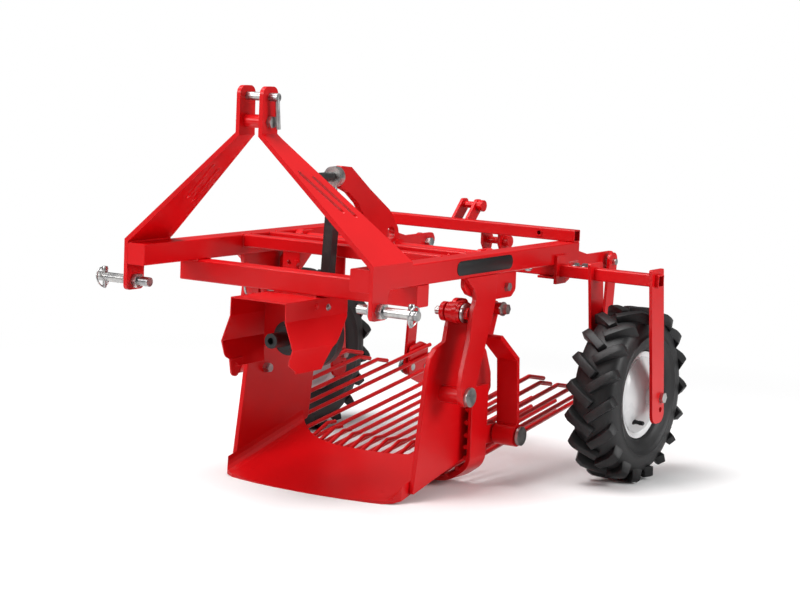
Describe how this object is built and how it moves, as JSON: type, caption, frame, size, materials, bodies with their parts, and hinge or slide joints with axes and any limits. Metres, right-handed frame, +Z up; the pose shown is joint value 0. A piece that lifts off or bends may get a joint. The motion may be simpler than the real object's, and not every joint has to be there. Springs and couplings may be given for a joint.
{
  "type": "tractor potato digger",
  "caption": "Mounted potato digger: hitch frame, share with side plates, shaken bar sieve, shaft-driven rocker and two depth wheels.",
  "frame": {"origin": "on the floor, at the middle of the overall length and width, where the blade and both wheels stand", "axes": "+X to the machine's right, +Y to the rear, +Z up"},
  "size_m": [1.218, 1.261, 0.9512],
  "materials": {
    "red_paint": "gloss",
    "zinc": "zinc plated",
    "black_steel": "satin black",
    "cast_grey": "dark cast iron",
    "white_paint": "gloss",
    "tyre_rubber": "matt"
  },
  "bodies": {
    "frame": {"side_beams": "red_paint", "front_cross_beam": "red_paint", "middle_cross_tubes": "red_paint", "rear_cross_tube": "red_paint", "rear_clevis": "red_paint", "tube_straps": "red_paint", "hitch_tower": "red_paint", "tower_spacer": "red_paint", "tower_bolt": "zinc", "top_hitch_pin": "zinc", "lower_hitch_pins": "zinc", "shaft_guard": "red_paint", "drive_bearing": "cast_grey", "share_legs": "red_paint", "share_sides": "red_paint", "share_blade": "red_paint", "share_spacers": "red_paint", "share_bolts": "zinc", "pin_washers": "zinc", "beam_lugs": "red_paint", "lug_bolts": "zinc", "hanger_plates": "red_paint", "hanger_pins": "zinc", "rocker_bearings": "red_paint", "wheel_tube": "red_paint", "tube_clamps": "red_paint", "wheel_forks": "red_paint", "wheel_axles": "zinc"},
    "drive": {"drive_shaft": "black_steel", "flywheel": "cast_grey"},
    "rod": {"connecting_rod": "black_steel", "rod_end": "zinc"},
    "rocker": {"rocker_shaft": "red_paint", "rocker_arm": "red_paint", "eye_bolt": "black_steel", "rocker_levers": "red_paint"},
    "arms": {"swing_arms": "red_paint", "arm_bolts": "zinc"},
    "sieve": {"sieve_hoop": "red_paint", "sieve_rods": "red_paint", "sieve_brackets": "red_paint", "hub_bolts": "zinc", "link_bolts": "zinc"},
    "links": {"rear_links": "red_paint"},
    "right_wheel": {"right_rim": "white_paint", "right_tyre": "tyre_rubber"},
    "left_wheel": {"left_rim": "white_paint", "left_tyre": "tyre_rubber"}
  },
  "joints": [
    {"name": "shaft_turn", "type": "hinge", "parent": "frame", "child": "drive", "pos_m": [0, -0.359, 0.372], "axis": [0, 1, 0], "continuous": true},
    {"name": "rocker_swing", "type": "hinge", "parent": "frame", "child": "rocker", "pos_m": [0, -0.016, 0.55], "axis": [1, 0, 0], "range_deg": [-3, 3]},
    {"name": "rod_swing", "type": "hinge", "parent": "rocker", "child": "rod", "pos_m": [0, -0.286, 0.738], "axis": [0, 1, 0], "range_deg": [-4.8, 0]},
    {"name": "arm_swing", "type": "hinge", "parent": "frame", "child": "arms", "pos_m": [0, -0.181, 0.438], "axis": [1, 0, 0], "range_deg": [-1.08, 1.08]},
    {"name": "sieve_swing", "type": "hinge", "parent": "arms", "child": "sieve", "pos_m": [0, 0.021, 0.126], "axis": [1, 0, 0], "range_deg": [-1.55, 1.55]},
    {"name": "link_swing", "type": "hinge", "parent": "frame", "child": "links", "pos_m": [0, 0.587, 0.503], "axis": [1, 0, 0], "range_deg": [-1.01, 1.01]},
    {"name": "right_wheel_turn", "type": "hinge", "parent": "frame", "child": "right_wheel", "pos_m": [0.507, 0.291, 0.217], "axis": [1, 0, 0], "continuous": true},
    {"name": "left_wheel_turn", "type": "hinge", "parent": "frame", "child": "left_wheel", "pos_m": [-0.451, 0.291, 0.217], "axis": [1, 0, 0], "continuous": true}
  ],
  "couplings": [
    {"joint": "arm_swing", "follows": "rocker_swing", "ratio": -0.36},
    {"joint": "sieve_swing", "follows": "rocker_swing", "ratio": 0.517},
    {"joint": "link_swing", "follows": "rocker_swing", "ratio": -0.337}
  ]
}
